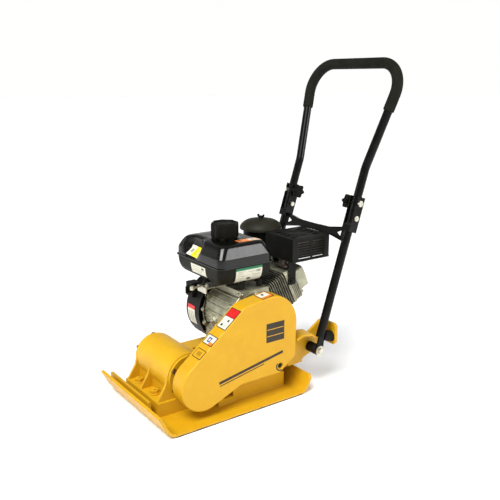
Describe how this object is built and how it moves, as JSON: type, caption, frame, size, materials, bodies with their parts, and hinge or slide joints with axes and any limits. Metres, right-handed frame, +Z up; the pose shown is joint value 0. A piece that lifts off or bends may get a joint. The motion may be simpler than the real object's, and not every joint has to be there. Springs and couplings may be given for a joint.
{
  "type": "plate compactor",
  "caption": "Forward plate compactor with bent sole plate, belt-driven exciter, small four-stroke engine and folding push handle.",
  "frame": {"origin": "centre of the plate's flat sole, on the ground", "axes": "+X towards the belt guard, +Y towards the push handle, +Z up"},
  "size_m": [0.3984, 0.8134, 0.9357],
  "materials": {
    "yellow_paint": "gloss",
    "black_paint": "gloss",
    "engine_black": "satin",
    "tank_black": "gloss",
    "cast_aluminium": "as cast",
    "rubber": "matte",
    "zinc_steel": "plated",
    "machined_steel": "machined",
    "cast_iron": "as cast",
    "black_plastic": "moulded",
    "red_plastic": "moulded",
    "filter_paper": "pleated"
  },
  "bodies": {
    "base": {"base_plate": "yellow_paint", "exciter_housing": "yellow_paint", "exciter_end_covers": "yellow_paint", "exciter_bolts": "zinc_steel", "shaft_bearings": "machined_steel", "isolators": "rubber", "console": "yellow_paint", "handle_brackets": "yellow_paint", "bracket_bushes": "rubber", "bracket_bolts": "zinc_steel", "stop_buffers": "rubber", "guard_back_plate": "yellow_paint", "belt_guard": "yellow_paint", "guard_bolts": "zinc_steel", "drive_belt": "rubber", "crankcase": "cast_aluminium", "crankcase_cover": "cast_aluminium", "cylinder": "engine_black", "cylinder_head": "cast_aluminium", "valve_cover": "cast_aluminium", "spark_plug": "black_plastic", "blower_housing": "engine_black", "recoil_cover": "engine_black", "tank_lower": "tank_black", "tank_upper": "tank_black", "air_cleaner_base": "black_plastic", "air_filter": "filter_paper", "carburettor": "cast_aluminium", "throttle_bracket": "zinc_steel", "muffler": "cast_iron", "muffler_shield": "engine_black", "engine_bolts": "zinc_steel", "switch_box": "black_plastic"},
    "exciter_rotor": {"exciter_shaft": "machined_steel", "eccentric_weight": "cast_iron", "exciter_pulley": "cast_iron"},
    "clutch_drum": {"clutch_drum": "cast_iron"},
    "crank": {"crankshaft": "machined_steel", "flywheel": "cast_iron", "clutch_shoes": "machined_steel"},
    "handle_frame": {"lower_legs": "black_paint", "crossbar": "black_paint", "handle_channels": "black_paint", "pivot_bolts": "zinc_steel"},
    "handle_loop": {"upper_handle": "black_paint", "handle_grip": "rubber", "knob_bolts": "zinc_steel"},
    "knob_left": {"star_knob_left": "black_plastic"},
    "knob_right": {"star_knob_right": "black_plastic"},
    "fuel_cap": {"fuel_cap": "black_plastic"},
    "air_cover": {"air_cleaner_cover": "black_plastic"},
    "wing_nut": {"wing_nut": "black_plastic"},
    "throttle_lever": {"throttle_lever": "zinc_steel"},
    "choke_lever": {"choke_lever": "black_plastic"},
    "fuel_valve_lever": {"fuel_valve_lever": "red_plastic"},
    "switch_knob": {"switch_knob": "black_plastic"},
    "dipstick": {"dipstick": "black_plastic"},
    "recoil_grip": {"recoil_grip": "rubber"},
    "recoil_pulley": {"recoil_pulley": "black_plastic"}
  },
  "joints": [
    {"name": "exciter_spin", "type": "hinge", "parent": "base", "child": "exciter_rotor", "pos_m": [0, -0.106, 0.101], "axis": [1, 0, 0], "continuous": true},
    {"name": "clutch_drum_spin", "type": "hinge", "parent": "base", "child": "clutch_drum", "pos_m": [0, 0.11, 0.216], "axis": [1, 0, 0], "continuous": true},
    {"name": "crank_spin", "type": "hinge", "parent": "base", "child": "crank", "pos_m": [0, 0.11, 0.216], "axis": [1, 0, 0], "continuous": true},
    {"name": "handle_rock", "type": "hinge", "parent": "base", "child": "handle_frame", "pos_m": [0, 0.283, 0.108], "axis": [1, 0, 0], "range_deg": [0, 1.5]},
    {"name": "handle_fold", "type": "hinge", "parent": "handle_frame", "child": "handle_loop", "pos_m": [0, 0.40096, 0.48726], "axis": [1, 0, 0], "range_deg": [0, 105]},
    {"name": "knob_left_turn", "type": "hinge", "parent": "handle_loop", "child": "knob_left", "pos_m": [0.12, 0.41463, 0.52908], "axis": [1, 0, 0], "range_deg": [0, 930]},
    {"name": "knob_right_turn", "type": "hinge", "parent": "handle_loop", "child": "knob_right", "pos_m": [-0.12, 0.41463, 0.52908], "axis": [-1, 0, 0], "range_deg": [0, 930]},
    {"name": "fuel_cap_turn", "type": "hinge", "parent": "base", "child": "fuel_cap", "pos_m": [-0.03, 0.078, 0.45], "axis": [0, 0, 1], "range_deg": [0, 90]},
    {"name": "air_cover_lift", "type": "slide", "parent": "base", "child": "air_cover", "axis": [0, 0, 1], "range_m": [0, 0.015]},
    {"name": "wing_nut_turn", "type": "hinge", "parent": "air_cover", "child": "wing_nut", "pos_m": [-0.107, 0.262, 0.46], "axis": [0, 0, 1], "range_deg": [0, 990]},
    {"name": "throttle_turn", "type": "hinge", "parent": "base", "child": "throttle_lever", "pos_m": [-0.028, 0.014, 0.31], "axis": [0, 0, 1], "range_deg": [-40, 0]},
    {"name": "choke_turn", "type": "hinge", "parent": "base", "child": "choke_lever", "pos_m": [-0.1, 0.25, 0.334], "axis": [1, 0, 0], "range_deg": [-45, 0]},
    {"name": "fuel_valve_turn", "type": "hinge", "parent": "base", "child": "fuel_valve_lever", "pos_m": [-0.1, 0.262, 0.312], "axis": [1, 0, 0], "range_deg": [0, 45]},
    {"name": "switch_turn", "type": "hinge", "parent": "base", "child": "switch_knob", "pos_m": [-0.11, 0, 0.279], "axis": [0, -1, 0], "range_deg": [0, 45]},
    {"name": "dipstick_turn", "type": "hinge", "parent": "base", "child": "dipstick", "pos_m": [0.048, 0.025, 0.146], "axis": [0, -0.766, 0.6428], "range_deg": [0, 990]},
    {"name": "recoil_pull", "type": "slide", "parent": "base", "child": "recoil_grip", "axis": [0, 0.9659, 0.2588], "range_m": [0, 0.09], "stiffness_N_per_m": 60, "springref_m": -0.1},
    {"name": "recoil_pulley_spin", "type": "hinge", "parent": "base", "child": "recoil_pulley", "pos_m": [0, 0.11, 0.216], "axis": [1, 0, 0], "range_deg": [-115, 0]}
  ],
  "couplings": [
    {"joint": "clutch_drum_spin", "follows": "exciter_spin", "ratio": 0.65455},
    {"joint": "recoil_pulley_spin", "follows": "recoil_pull", "rad_per_m": -21.367}
  ]
}
